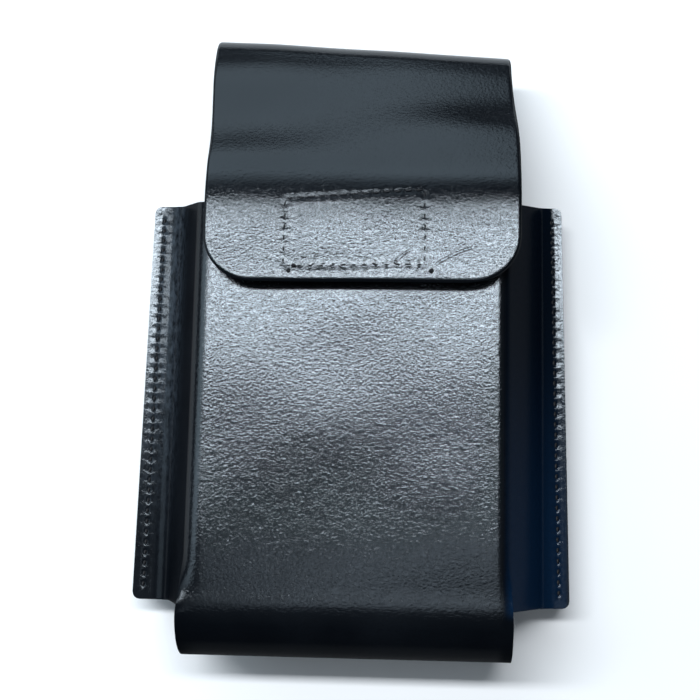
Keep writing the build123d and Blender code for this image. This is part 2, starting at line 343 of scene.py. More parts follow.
class Finish:
    """A material under construction, with one method that adds any node."""

    def __init__(self, name, **constants):
        self.material = bpy.data.materials.new(name)
        self.material.use_nodes = True
        self.tree = self.material.node_tree
        self.shader = self.tree.nodes["Principled BSDF"]
        for socket, value in constants.items():
            self.shader.inputs[socket.replace("_", " ")].default_value = value

    def node(self, kind, settings, *values, out=0, **named):
        """Adds a node, with its settings first and then its sockets' values or links."""
        node = self.tree.nodes.new(kind)
        for key, value in settings.items():
            setattr(node, key, value)
        for key, value in [*enumerate(values), *named.items()]:
            if value is None:
                continue
            socket = node.inputs[key if isinstance(key, int) else key.replace("_", " ")]
            if isinstance(value, Number):
                self.tree.links.new(value.socket, socket)
            elif socket.type == "RGBA" and len(value) == 3:
                socket.default_value = (*value, 1.0)
            else:
                socket.default_value = value
        return Number(self, node.outputs[out])

    def feed(self, socket, value):
        self.tree.links.new(value.socket, self.shader.inputs[socket])

    def place(self, stretch=(1, 1, 1)):
        """Object coordinates in millimetres."""
        scale = [part / MM for part in stretch]
        here = self.node("ShaderNodeTexCoord", {}, out="Object")
        return self.node("ShaderNodeVectorMath", {"operation": "MULTIPLY"}, here, scale)

    def axis(self, name):
        """One of the object coordinates, X, Y or Z, in millimetres."""
        return self.node("ShaderNodeSeparateXYZ", {}, self.place(), out=name)

    def attribute(self, name):
        return self.node("ShaderNodeAttribute", {"attribute_name": name}, out="Fac")

    def cloud(self, place, scale, detail=2.0, rough=0.5):
        return self.node("ShaderNodeTexNoise", {}, place, Scale=scale, Detail=detail,
                         Roughness=rough)

    def warp(self, place, scale, amount):
        """The place, pushed about by a colour cloud."""
        push = self.node("ShaderNodeTexNoise", {}, place, Scale=scale, Detail=1.0, out="Color")
        centred = self.node("ShaderNodeVectorMath", {"operation": "SUBTRACT"}, push, (0.5,) * 3)
        pushed = self.node("ShaderNodeVectorMath", {"operation": "SCALE"}, centred, Scale=amount)
        return self.node("ShaderNodeVectorMath", {"operation": "ADD"}, place, pushed)

    def mix(self, share, first, second):
        """A colour between two, by a share from 0 to 1."""
        unused = [None] * 5      # the Mix node's sockets for numbers and vectors
        return self.node("ShaderNodeMix", {"data_type": "RGBA"}, share, *unused, first, second,
                         out=2)

    def fed(self, socket):
        """What already feeds a socket of the shader."""
        return Number(self, self.shader.inputs[socket].links[0].from_socket)

    def dull_where(self, share, **constants):
        """Mixes in a second, duller shader of the same colour and relief."""
        dull = self.node("ShaderNodeBsdfPrincipled", {}, Base_Color=self.fed("Base Color"),
                         Normal=self.fed("Normal"), **constants)
        glossy = Number(self, self.shader.outputs[0])
        blend = self.node("ShaderNodeMixShader", {}, share, glossy, dull)
        self.tree.links.new(blend.socket, self.tree.nodes["Material Output"].inputs[0])

    def emboss(self, height, depth, strength=1.0):
        """Feeds the shader's normal with a bump of this height, in metres at height 1."""
        bump = self.node("ShaderNodeBump", {}, Strength=strength, Distance=depth, Height=height)
        self.feed("Normal", bump)


BLACK_DYE = ((0.0020, 0.0028, 0.0042), (0.0038, 0.0050, 0.0070))
# Painted shade for the hollows of the grain, mixed into the colour there.
HOLLOW_PAINTED_SHADE = (0.0018, 0.002, 0.003)
# Painted reflection: the navy of the right wall stands in for blue sky reflected there.
NAVY_SKY_REFLECTION = ((0.0008, 0.003, 0.007), (0.002, 0.011, 0.030))    # by the mouth, by the foot
# Painted light: the grey of the left flange stands in for a light from the left reflected there.
LEFT_LIGHT_GREY = (0.030, 0.038, 0.048)
GRAIN_DEPTH = 0.047 * MM


def pocket_painted_light(finish, tone, glossy):
    """Painted light on the pocket: a navy right wall, painted as the reflection of the blue sky,
    and a left flange painted light grey, as the reflection of a light from the left.
    """
    x, y = finish.axis("X"), finish.axis("Y")
    # Painted reflection: the right wall turns navy, deeper towards the foot and less where it is
    # glossy.
    wall = x.between(38.5, 41.5) * (1 - x.between(56.0, 57.5))
    low = 1 - y.between(-62.0, 10.0)
    sky_reflection = finish.mix(low, *NAVY_SKY_REFLECTION)
    wall = wall * y.between(-71.0, -67.5)
    tone = finish.mix(wall * (1 - glossy * 0.6), tone, sky_reflection)
    # Painted light: flecks of light grey on the upper left flange, where a light from the left is
    # reflected.
    left_light = (0 - x).between(43.0, 50.0) * (y * 0.7 + 30).between(-20.0, 40.0)
    fleck = finish.cloud(finish.place((1.0, 0.5, 1.0)), 0.9, 3.0, 0.7)
    return finish.mix(left_light * fleck.between(0.3, 0.7), tone, LEFT_LIGHT_GREY)


def grain_leather(name, scratches=(), painted_light=None):
    """Black fine-grained leather: a satin finish that has gone dull in the moulded hollows."""
    finish = Finish(name, Specular_IOR_Level=0.62, Specular_Tint=(0.86, 0.94, 1.0, 1.0))
    grainy = finish.attribute("grain")
    glossy = finish.attribute("gloss")
    place = finish.place((0.84, 1.0, 1.0))
    bent = finish.warp(place, 0.6, 0.9)
    pebble = finish.node("ShaderNodeTexVoronoi", {"feature": "SMOOTH_F1"}, bent,
                         Scale=1.6, Smoothness=0.4)
    wrinkle = finish.cloud(bent, 1.6, 3.0, 0.62)
    pores = finish.cloud(place, 7.0, 2.0)
    patchy = finish.cloud(place, 0.045, 3.0, 0.55)
    hide = wrinkle * 1.5 - pebble * 0.55 + pores * 0.12
    height = hide * (grainy * 0.9 + 0.1)
    for (x0, y0), (x1, y1), width in scratches:
        height = height - scratch(finish, x0, y0, x1, y1, width) * 0.9
    hollow = (1 - wrinkle.between(0.30, 0.52)) * grainy
    tone = finish.mix(patchy.between(0.35, 0.7), *BLACK_DYE)
    # Optional painted reflections, added into the colour.
    if painted_light:
        tone = painted_light(finish, tone, glossy)
    # Painted shade: the hollows of the grain are mixed towards a darker tone.
    finish.feed("Base Color", finish.mix(hollow * 0.6, tone, HOLLOW_PAINTED_SHADE))
    finish.feed("Roughness", 0.11 + patchy * 0.06 + hollow * 0.14)
    finish.emboss(height, GRAIN_DEPTH)
    finish.dull_where(1 - glossy, Specular_IOR_Level=0.004, Roughness=0.7)
    return finish.material


def scratch(finish, x0, y0, x1, y1, width):
    """1 along a fine scratch between two points of the plan, in millimetres."""
    x, y = finish.axis("X"), finish.axis("Y")
    length = hypot(x1 - x0, y1 - y0)
    ux, uy = (x1 - x0) / length, (y1 - y0) / length
    along = (x - x0) * ux + (y - y0) * uy
    bow = (along / length - 0.5) ** 2 * (0.18 * length)
    off = abs((y - y0) * ux - (x - x0) * uy + bow)
    ends = along.between(0.0, 0.6) * (1 - along.between(length - 1.5, length))
    return (1 - off.between(width * 0.3, width)) * ends


def flesh_side():
    """The suede side of the leather, dyed through."""
    finish = Finish("flesh side", Sheen_Weight=0.25, Sheen_Roughness=0.6)
    place = finish.place()
    nap = finish.cloud(place, 2.6, 4.0, 0.7)
    patch = finish.cloud(place, 0.12, 2.0)
    finish.feed("Base Color", finish.mix(patch, (0.011, 0.011, 0.012), (0.026, 0.025, 0.026)))
    finish.feed("Roughness", 0.82 + nap * 0.15)
    finish.emboss(nap, 0.25 * MM)
    return finish.material


def painted_edge():
    """Cut edge with navy-black edge paint, slightly fibrous."""
    finish = Finish("painted edge", Specular_IOR_Level=0.5)
    place = finish.place()
    fibre = finish.cloud(place, 3.5, 3.0, 0.6)
    finish.feed("Base Color", finish.mix(fibre, (0.006, 0.009, 0.018), (0.014, 0.020, 0.036)))
    finish.feed("Roughness", 0.38 + fibre * 0.25)
    finish.emboss(fibre, 0.12 * MM)
    return finish.material


def sewing_thread():
    """Black bonded thread: the ply runs round each stitch."""
    finish = Finish("sewing thread", Specular_IOR_Level=0.22)
    place = finish.node("ShaderNodeTexCoord", {}, out="UV")
    ply = finish.node("ShaderNodeTexWave", {"bands_direction": "DIAGONAL"}, place,
                      Scale=1.4, Distortion=0.6, Detail=1.0)
    lint = finish.cloud(finish.place(), 7.0, 2.0)
    finish.feed("Base Color", finish.mix(ply, (0.004, 0.004, 0.005), (0.013, 0.014, 0.017)))
    finish.feed("Roughness", 0.32 + lint * 0.3)
    finish.emboss(ply + lint * 0.4, 0.10 * MM)
    return finish.material


def tape_weave(name, nap):
    """Woven nylon tape, with a nap for the loop side."""
    finish = Finish(name, Sheen_Weight=0.4, Sheen_Roughness=0.5)
    place = finish.place()
    warp = finish.node("ShaderNodeTexWave", {"bands_direction": "X"}, place, Scale=0.9)
    weft = finish.node("ShaderNodeTexWave", {"bands_direction": "Y"}, place, Scale=0.9)
    fuzz = finish.cloud(place, 3.0, 4.0, 0.75)
    finish.feed("Base Color", finish.mix(fuzz, (0.007, 0.007, 0.008), (0.022, 0.022, 0.025)))
    finish.feed("Roughness", 0.7 + fuzz * 0.25)
    finish.emboss((warp + weft) * (1 - nap) + fuzz * (0.4 + nap), 0.18 * MM)
    return finish.material


def plain_floor():
    """Pale matt floor, very slightly clouded."""
    finish = Finish("plain floor")
    speck = finish.cloud(finish.place(), 0.02, 2.0)
    finish.feed("Base Color", finish.mix(speck, (0.86, 0.86, 0.86), (0.89, 0.89, 0.89)))
    finish.feed("Roughness", 0.8 + speck * 0.1)
    return finish.material


TONGUE_SCRATCHES = (             # from, to and width, in millimetres of the plan
    ((11.1, 16.3), (15.5, 20.1), 0.5),
    ((21.3, 16.3), (31.1, 21.0), 0.5),
)
GRAIN = grain_leather("grain leather")
# The front leather has the pocket's painted reflections in its colour.
FRONT_GRAIN = grain_leather("front leather", painted_light=pocket_painted_light)
TONGUE_GRAIN = grain_leather("tongue leather", TONGUE_SCRATCHES)
FLESH = flesh_side()
EDGE = painted_edge()
THREAD = sewing_thread()


# ------------------------------------------------------------------ moulded front

def flange_edge(y):
    """Half width of the pocket at a station, with its rounded corners."""
    half = FOOT_HALF - MOUTH_TAPER * (y - FOOT) / (MOUTH - FOOT)
    return half - corner_loss(FLANGE_CORNER, min(y - FOOT, MOUTH - y))


def seam_line(side):
    """Side seam, parallel to the tapering flange edge."""
    low = FOOT_HALF - SEAM_INSET
    return ((side * low, FOOT + SEAM_MARGIN), (side * (low - MOUTH_TAPER), MOUTH - SEAM_MARGIN))


SIDE_SEAMS = (seam_line(-1), seam_line(1))


def wall_section(side, zone, edge):
    """Point (x, z) of one half of the moulded section.

    Zones: 0-1 flat face, 1-2 ridge, 2-3 side wall, 3-4 valley, 4-5 flange.
    """
    ridge, valley = RIDGE_X[side > 0], VALLEY_X[side > 0]
    ridge_radius, valley_radius = RIDGE_RADIUS[side > 0], VALLEY_RADIUS[side > 0]
    slope = atan2(FACE_TOP - FLANGE_TOP, valley - ridge)
    top = ridge_radius * tan(slope / 2)
    foot = valley_radius * tan(slope / 2)
    if zone <= 1:
        return (ridge - top) * zone, FACE_TOP
    if zone <= 2:
        turn = slope * (zone - 1)
        return ridge - top + ridge_radius * sin(turn), FACE_TOP - ridge_radius * (1 - cos(turn))
    if zone <= 3:
        x0, z0 = ridge + top * cos(slope), FACE_TOP - top * sin(slope)
        x1, z1 = valley - foot * cos(slope), FLANGE_TOP + foot * sin(slope)
        t = zone - 2
        return x0 + (x1 - x0) * t, z0 + (z1 - z0) * t
    if zone <= 4:
        turn = slope * (4 - zone)
        rise = valley_radius * (1 - cos(turn))
        return valley + foot - valley_radius * sin(turn), FLANGE_TOP + rise
    start = valley + foot
    return start + (edge - start) * (zone - 4), FLANGE_TOP


FOOT_RADIUS = (FACE_TOP - FRONT_LOW[2]) / 2
BEND_START = FRONT_LOW[1] + FOOT_RADIUS
TAIL = 13.0 * MM
TAIL_COURSE = course((BEND_START, FACE_TOP), pi, [(pi * FOOT_RADIUS, pi), (TAIL, 0)])
MOUTH_DIP = 5.0 * MM       # the moulded face is drawn down from the mouth of the flanges
TRACK_INSET = 2.4 * MM     # line that the presser foot leaves beside the stitches


def face_sag(x, y):
    """How far the moulded face lies below its highest level: slightly crowned and uneven."""
    across = min(abs(x) / RIDGE_X[0], 1.0)
    by_the_foot = max(0.0, FOOT + 19 * MM - y) / (20 * MM)
    level = 0.1 * MM + 0.5 * MM * across ** 2 + 1.2 * MM * by_the_foot ** 2
    return level - unevenness(x, y, 26 * MM, 0.35 * MM)


def front_form(u, v):
    """Grain side of the front panel. v runs from 0 at the mouth, past the foot, to the tail."""
    side = 1 if u >= 0 else -1
    zone = abs(u)
    y = MOUTH - v
    edge = flange_edge(max(y, FOOT))
    x, z = wall_section(side, zone, edge)
    x0, z0 = wall_section(side, 2, edge)
    flatten = smoothstep(FOOT + 13 * MM, FOOT - 5 * MM, y)
    if zone <= 2:
        x += (strip_across(side, zone, edge) - x) * flatten
        z += (FACE_TOP - z) * flatten
    elif zone <= 3:
        x += (STRIP_HALF - x0) * flatten * (3 - zone)
        z += (FACE_TOP - z0) * flatten * (3 - zone) ** 1.5
    settle = 1 - smoothstep(1.2, 3, zone)
    z -= face_sag(side * x, y) * settle * smoothstep(FOOT - 12 * MM, FOOT + 6 * MM, y)
    grainy = 1 - 0.75 * smoothstep(1.2, 2, zone) + 0.3 * smoothstep(3, 5, zone)
    wall = smoothstep(1.0, 1.6, zone) if side > 0 else smoothstep(1.0, 2.1, zone)
    glossy = 1 - 0.97 * wall + (0.24 if side < 0 else 0.18) * smoothstep(2.6, 4.4, zone)
    if zone <= 2 and y < BEND_START:
        turned = min(1.0, (BEND_START - y) / (FOOT_RADIUS * 0.5))
        along, height, heading = TAIL_COURSE(BEND_START - y)
        sag = FACE_TOP - z
        y = along - sag * sin(heading)
        z = height + sag * cos(heading)
        grainy *= 1 - 0.45 * turned
        glossy *= 1 - 0.96 * turned
    elif zone > 2:
        if y < BEND_START:
            z -= (BEND_START - y) ** 2 / (2 * FOOT_RADIUS) * (3 - min(zone, 3))
        if zone > 3:
            z += seam_relief(side * x, y, SIDE_SEAMS)
            track = edge - SEAM_INSET - TRACK_INSET
            z -= 0.07 * MM * exp(-((x - track) / (0.3 * MM)) ** 2)
            margin = smoothstep(edge - SEAM_INSET + 0.2 * MM, edge - SEAM_INSET + 1.2 * MM, x)
            glossy += margin * 0.6 * smoothstep(-60 * MM, 20 * MM, y)
    y -= MOUTH_DIP * exp(-(v / (9 * MM)) ** 2) * (z - FLANGE_TOP) / (FACE_TOP - FLANGE_TOP)
    return (side * x, y, z), grainy, min(max(glossy, 0.0), 1.0)


def strip_across(side, zone, edge):
    """Where a station of the face and ridge lies on the flat strip."""
    face = wall_section(side, 1, edge)[0]
    slope = atan2(FACE_TOP - FLANGE_TOP, VALLEY_X[side > 0] - RIDGE_X[side > 0])
    arc = RIDGE_RADIUS[side > 0] * slope
    run = face * zone if zone <= 1 else face + arc * (zone - 1)
    return run * STRIP_HALF / (face + arc)


def half_zones():
    """Stations from the middle of the face to the edge of a flange."""
    return steps((0, 1, 1 / 24), (1, 2, 1 / 9), (2, 3, 1 / 18), (3, 4, 1 / 8), (4, 5, 1 / 20))


def mirrored(stations):
    """The same stations on both sides of the first."""
    return [-s for s in reversed(stations[1:])] + stations


def corner_rows(low, high, pitch):
    """Rows from low to high, closer together where the flange corners are rounded."""
    corner = corner_steps(FLANGE_CORNER)
    start = [low + c for c in corner]
    end = [high - c for c in reversed(corner)]
    return start + steps((start[-1], end[0], pitch))[1:-1] + end


def make_front():
    foot_v = MOUTH - FOOT
    end_v = MOUTH - BEND_START + pi * FOOT_RADIUS + TAIL
    rows = corner_rows(0, foot_v, PITCH / 4) + steps((foot_v, end_v, 1.1 * MM))[1:]
    piece = leather(
        "front_leather", mirrored(half_zones()), rows, front_form,
        waste=lambda u, v: abs(u) > 2 and v > foot_v, finishes=(FRONT_GRAIN, FLESH, EDGE))
    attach(piece, "case")
    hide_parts("front_panel")


# ------------------------------------------------------------------ back and flap

FOLD_START = Vector(HINGE["fold_start"])
FOLD_END = Vector(HINGE["fold_end"])
CREASE = Vector(HINGE["tongue_peel"])
SLOPE = atan2(CREASE.z - FOLD_END.z, CREASE.y - FOLD_END.y)
FOLD_RADIUS = (FOLD_END.z - FOLD_START.z) / (1 - cos(SLOPE))
CREASE_TURN = pi - SLOPE
CREASE_TANGENT = CREASE_RADIUS * tan(CREASE_TURN / 2)
BACK_RUN = FOLD_START.y - FOOT
FOLD_RUN = FOLD_RADIUS * SLOPE
SLOPE_RUN = (CREASE - FOLD_END).length - CREASE_TANGENT
CREASE_RUN = CREASE_RADIUS * CREASE_TURN
TONGUE_RUN = CREASE.y - TONGUE_LOW[1] - CREASE_TANGENT
FLAP_COURSE = course(
    (FOOT, CASE_BACK), 0.0,
    [(BACK_RUN, 0), (FOLD_RUN, SLOPE), (SLOPE_RUN, 0), (CREASE_RUN, CREASE_TURN), (TONGUE_RUN, 0)])
FOLD_AT = BACK_RUN
SLOPE_AT = FOLD_AT + FOLD_RUN
CREASE_AT = SLOPE_AT + SLOPE_RUN
TONGUE_AT = CREASE_AT + CREASE_RUN
FLAP_END = TONGUE_AT + TONGUE_RUN
LOWER_CUT = FOLD_AT + FOLD_RUN / 4
UPPER_CUT = FOLD_AT + FOLD_RUN * 3 / 4
SLOPE_CUT = SLOPE_AT + SLOPE_RUN / 2

BOX_LOW_Y = HOOK_LOW[1] + 1.2 * MM
BOX_CORNERS = (
    (HOOK_LOW[0] + 1.0 * MM + BOX_DRIFT, BOX_LOW_Y - 0.5 * MM),
    (HOOK_HIGH[0] - 1.6 * MM + BOX_DRIFT, BOX_LOW_Y + 0.1 * MM),
    (HOOK_HIGH[0] - 1.9 * MM + BOX_DRIFT, HOOK_HIGH[1] + 0.6 * MM),
    (HOOK_LOW[0] + 1.0 * MM + BOX_DRIFT, HOOK_HIGH[1] - 1.8 * MM),
)
BOX_SEAMS = tuple(zip(BOX_CORNERS, BOX_CORNERS[1:] + BOX_CORNERS[:1]))


def flap_waves(x, d):
    """Soft cross waves of the flap's slope, deeper on one side than the other."""
    t = (d - SLOPE_AT) / SLOPE_RUN
    if not -0.2 < t < 1.3:
        return 0.0
    fade = smoothstep(-0.2, 0.15, t) * (1 - smoothstep(0.85, 1.3, t))
    left = 0.45 * MM * sin(2 * pi * (1.15 * t - 0.02)) * smoothstep(30 * MM, -35 * MM, x)
    right = 0.28 * MM * sin(2 * pi * (1.5 * t + 0.12)) * smoothstep(-20 * MM, 38 * MM, x)
    return fade * (left + right)


def tongue_curl(x, y):
    """The tongue's end has sprung up a little, more at its left."""
    curl = smoothstep(TONGUE_LOW[1] + 16 * MM, TONGUE_LOW[1] - 6 * MM, y)
    return curl * (0.55 * MM - 0.25 * MM * x / FLAP_HALF)


def edge_distance(x, to_end):
    """Distance from the rim of the flap, whose tongue has rounded corners."""
    side, end = FLAP_HALF - abs(x), max(to_end, 0.0)
    if end >= TONGUE_CORNER:
        return side
    if side < TONGUE_CORNER:
        return max(0.0, TONGUE_CORNER - hypot(TONGUE_CORNER - side, TONGUE_CORNER - end))
    return min(side, end)


def flap_form(u, d):
    """Grain side of the back strip, the fold and the flap. u runs from -1 to 1."""
    to_end = FLAP_END - d
    x = u * (FLAP_HALF - corner_loss(TONGUE_CORNER, to_end))
    inside = edge_distance(x, to_end)
    on_fold = smoothstep(MOUTH - FOOT, FOLD_AT, d)
    over = smoothstep(FOLD_AT + FOLD_RUN, CREASE_AT, d)
    y, z, heading = FLAP_COURSE(d)
    y -= FLAP_SKEW * x * on_fold * (1 - over)
    x += FOLD_DRIFT * on_fold + (TONGUE_DRIFT - FOLD_DRIFT) * over
    lift = flap_waves(x, d) + unevenness(x, y, 22 * MM, 0.3 * MM) * on_fold
    rounded = max(0.0, 1 - inside / RIM_ROUND) * on_fold
    lift -= RIM_DROP * (1 - sqrt(1 - rounded ** 2))
    if d > CREASE_AT:
        lift += tongue_curl(x, y) + seam_relief(x, y, BOX_SEAMS, 0.55)
    y += lift * sin(heading)
    z -= lift * cos(heading)
    smooth_hide = smoothstep(FOLD_AT, SLOPE_AT, d) * (1 - smoothstep(CREASE_AT, TONGUE_AT, d))
    handled = smoothstep(CREASE_AT + 5.5 * MM, CREASE_AT + 10.5 * MM, d)
    handled *= 1 - smoothstep(TONGUE_AT - 7 * MM, TONGUE_AT + 9 * MM, d)
    burnished = smoothstep(0.35, 0.75, rounded)
    grainy = (1 - 0.45 * smooth_hide) * (1 - burnished)
    glossy = (1 - 0.3 * smooth_hide) * (1 - 0.7 * handled) * (1 - 0.9 * burnished)
    return (x, y, z), grainy, glossy


LAP_CLEAR = 3.0 * MM       # back panel's edge under the turned-up tail


def back_form(u, d):
    """The back panel: its middle is the flap's own strip, and its sides run out to the flanges."""
    if abs(u) <= 1:
        (x, y, z), grainy, glossy = flap_form(u, d)
    else:
        y, z, grainy, glossy = FOOT + d, CASE_BACK, 1.0, 1.0
        side = 1 if u > 0 else -1
        x = side * (FLAP_HALF + (flange_edge(y) - FLAP_HALF) * (abs(u) - 1))
        z -= seam_relief(x, y, SIDE_SEAMS)
    return (x, y, z), grainy * 0.8, glossy * 0.8


EDGED = mirrored(steps((0, 0.974, 0.974 / 62), (0.974, 1, 0.026 / 5)))
FLANK = steps((1, 2, 1 / 30))[1:]


def make_back():
    mouth_d = MOUTH - FOOT
    across = [-u for u in reversed(FLANK)] + EDGED + FLANK
    rows = corner_rows(0, mouth_d, PITCH / 4)
    rows += steps((mouth_d, FOLD_AT, 1.5 * MM), (FOLD_AT, LOWER_CUT, 0.4 * MM))[1:]
    piece = leather(
        "back_leather", across, rows, back_form,
        waste=lambda u, d: (abs(u) > 1 and d > mouth_d) or (abs(u) < 1 and d < LAP_CLEAR),
        finishes=(GRAIN, FLESH, EDGE))
    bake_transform(piece)
    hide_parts("back_panel")


def make_fold_middle():
    piece = leather("fold_leather", EDGED, steps((LOWER_CUT, UPPER_CUT, 0.4 * MM)), flap_form,
                    finishes=(GRAIN, FLESH, EDGE), edge=0)
    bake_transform(piece)
    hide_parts("flap_bend_lower")


def make_fold_end():
    past_bend = SLOPE_AT + 4 * MM
    rows = steps((UPPER_CUT, past_bend, 0.4 * MM), (past_bend, SLOPE_CUT, 0.8 * MM))
    piece = leather("flap_top_leather", EDGED, rows, flap_form, finishes=(GRAIN, FLESH, EDGE),
                    edge=0)
    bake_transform(piece)
    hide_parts("flap_bend_upper")


def make_tongue():
    corner_start = FLAP_END - TONGUE_CORNER
    rows = steps((SLOPE_CUT, corner_start, 0.6 * MM))
    rows += [corner_start + TONGUE_CORNER * sin(radians(5 * i)) for i in range(1, 16)]
    rows.append(FLAP_END)
    piece = leather("tongue_leather", EDGED, rows, flap_form,
                    finishes=(TONGUE_GRAIN, FLESH, EDGE), edge=0)
    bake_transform(piece)
    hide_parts("flap_front", "flap_tongue")


# ------------------------------------------------------------------ closure tapes

TAPE_FINISH = tape_weave("hook tape", 0.0)
PILE_FINISH = tape_weave("loop tape", 0.6)
HOOK_LEVEL = HOOK_HIGH[2] - HOOK_LOW[2]
PILE_LEVEL = TAPE_HIGH[2] - TAPE_LOW[2]
SELVAGE = 2.6 * MM         # bare border of a tape
HOOK_RADIUS, HOOK_WIRE, HOOK_PITCH = 0.40 * MM, 0.09 * MM, (1.3 * MM, 1.35 * MM)
PILE_RADIUS, PILE_WIRE, PILE_PITCH = 0.45 * MM, 0.05 * MM, (1.1 * MM, 0.9 * MM)
PILE_ROOT = 0.2 * MM       # the loops start this far down in their tape


def tongue_level(x, y):
    """Grain side of the tongue, away from its stitches."""
    return TONGUE_HIGH[2] + unevenness(x, y, 22 * MM, 0.3 * MM) + tongue_curl(x, y)


def hook_tape_form(x, y):
    x += BOX_DRIFT
    return (x, y, tongue_level(x, y) - LEATHER - HOOK_LEVEL), 0.0, 1.0


def loop_tape_form(x, v):
    return (x, -v, FACE_TOP - face_sag(x, -v) + PILE_LEVEL), 0.0, 1.0


def tiny_hook(name, radius, wire, finish, opening):
    """A bent monofilament standing on the XY plane, open on one side if it is a hook."""
    deselect_all()
    bpy.ops.mesh.primitive_torus_add(
        major_segments=8, minor_segments=4, major_radius=radius, minor_radius=wire,
        location=(0, 0, radius * 0.7), rotation=(pi / 2, 0, 0))
    hook = bpy.context.object
    hook.name = name
    bpy.ops.object.transform_apply(location=True, rotation=True)
    if opening:
        def in_opening(face):
            x, _, z = face.center
            return x > 0 and 0.1 * radius < z < radius
        in_edit_mode(hook, "FACE", in_opening, bpy.ops.mesh.delete, type="FACE")
    hook.data.materials.append(finish)
    smooth(hook)
    return hook


def copy_to(original, matrix):
    """A copy with its own mesh, moved by the matrix."""
    copy = original.copy()
    copy.data = original.data.copy()
    copy.data.transform(matrix)
    bpy.context.collection.objects.link(copy)
    return copy


def planted(hook, low, high, pitch, level, up, straight):
    """Copies of a hook in staggered rows between two corners, standing on a level."""
    copies = []
    xs = steps((low[0] + SELVAGE, high[0] - SELVAGE, pitch[0]))
    ys = steps((low[1] + SELVAGE, high[1] - SELVAGE, pitch[1]))
    for j, y in enumerate(ys):
        for i, x in enumerate(xs):
            sway = noise.noise(Vector((i * 1.7, j * 2.3, 0.5)))
            turn = sway * (0.5 if straight else 6.0) + (pi if j % 2 else 0)
            place = Vector((x + (j % 2) * pitch[0] / 2, y + sway * 0.3 * MM, level(x, y)))
            flip = Matrix.Rotation(pi, 4, "X") if up < 0 else Matrix.Identity(4)
            lean = Matrix.Rotation(sway * 0.7, 4, "X")
            copies.append(copy_to(
                hook, Matrix.Translation(place) @ flip @ Matrix.Rotation(turn, 4, "Z") @ lean))
    bpy.data.objects.remove(hook)
    return copies


def make_tapes():
    across = steps((HOOK_LOW[0], HOOK_HIGH[0], 1 * MM))
    hook_rows = steps((HOOK_LOW[1], HOOK_HIGH[1], 1 * MM))
    tape = leather("hook_tape", across, hook_rows, hook_tape_form,
                   finishes=(TAPE_FINISH, TAPE_FINISH, TAPE_FINISH), edge=TAPE_EDGE,
                   thickness=HOOK_LEVEL)
    hook = tiny_hook("tiny_hook", HOOK_RADIUS, HOOK_WIRE, TAPE_FINISH, True)

    def hook_level(x, y):
        return tongue_level(x + BOX_DRIFT, y) - LEATHER - HOOK_LEVEL

    hooks = planted(hook, HOOK_LOW, HOOK_HIGH, HOOK_PITCH, hook_level, -1, True)
    for copy in hooks:
        copy.data.transform(Matrix.Translation((BOX_DRIFT, 0, 0)))
    piece = join("hook_tape", [tape, *hooks])
    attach(piece, "tongue")
    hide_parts("hook_patch")

    pile_rows = steps((-TAPE_HIGH[1], -TAPE_LOW[1], 1 * MM))
    tape = leather("loop_tape", across, pile_rows, loop_tape_form,
                   finishes=(PILE_FINISH, PILE_FINISH, PILE_FINISH), edge=TAPE_EDGE,
                   thickness=PILE_LEVEL)
    loop = tiny_hook("tiny_loop", PILE_RADIUS, PILE_WIRE, PILE_FINISH, False)

    def pile_level(x, y):
        return FACE_TOP - face_sag(x, y) + PILE_LEVEL - PILE_ROOT

    loops = planted(loop, TAPE_LOW, TAPE_HIGH, PILE_PITCH, pile_level, 1, False)
    piece = join("loop_tape", [tape, *loops])
    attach(piece, "case")
    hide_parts("loop_patch")


# ------------------------------------------------------------------ belt loop

STRAP_LEATHER = 2.2 * MM
STRAP_CORNER = 4 * MM
STRAP_FOOT = 11 * MM       # sewn length at each end
STRAP_MIDDLE = (STRAP_LOW[1] + STRAP_HIGH[1]) / 2
STRAP_RUN = STRAP_HIGH[1] - STRAP_LOW[1]
THREAD_WIDTH = 0.8 * MM


def seam_corners(node):
    """Corners of a seam, from the box round its thread: one line, or a closed rectangle."""
    low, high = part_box(node)
    x0, y0 = low[0] + THREAD_WIDTH / 2, low[1] + THREAD_WIDTH / 2
    x1, y1 = high[0] - THREAD_WIDTH / 2, high[1] - THREAD_WIDTH / 2
    if y1 - y0 < 2 * MM:
        return [(x0, y0), (x1, y1)]
    return [(x0, y0), (x1, y0), (x1, y1), (x0, y1), (x0, y0)]


def sides_of(corners):
    return tuple(zip(corners, corners[1:]))


STRAP_SEAMS = (sides_of(seam_corners("belt_loop_upper_needle_thread"))
               + sides_of(seam_corners("belt_loop_lower_needle_thread")))


def strap_form(u, v):
    """Grain side of the belt loop, which faces the belt wearer's hip."""
    half = STRAP_HIGH[0] - corner_loss(STRAP_CORNER, min(v, STRAP_RUN - v))
    x, y = u * half, STRAP_LOW[1] + v
    from_middle = abs(y - STRAP_MIDDLE)
    free = STRAP_RUN / 2 - STRAP_FOOT
    rise = smoothstep(free - 6.5 * MM, free + 2 * MM, from_middle)
    z = (CASE_BACK - STRAP_LEATHER) * rise
    z += 0.25 * MM * (1 - (from_middle / (STRAP_RUN / 2)) ** 2) * (x / STRAP_HIGH[0]) ** 2
    return (x, y, z - seam_relief(x, y, STRAP_SEAMS)), 0.9, 0.7


def make_belt_loop():
    corner = corner_steps(STRAP_CORNER)
    inner = steps((corner[-1], STRAP_RUN - corner[-1], 0.7 * MM))
    rows = corner[:-1] + inner + [STRAP_RUN - c for c in reversed(corner[:-1])]
    piece = leather("belt_loop_strap", steps((-1, 1, 1 / 46)), rows, strap_form,
                    finishes=(GRAIN, FLESH, EDGE), thickness=STRAP_LEATHER)
    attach(piece, "case")
    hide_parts("belt_loop")


# ------------------------------------------------------------------ stitches

STITCH_RADIUS = 0.33 * MM
STITCH_DIVE = (0.20 * MM, 1.1 * MM)      # how deep its middle lies, and how much more its ends
BOX_GIRTH = 0.62                         # the box is sewn with a finer thread


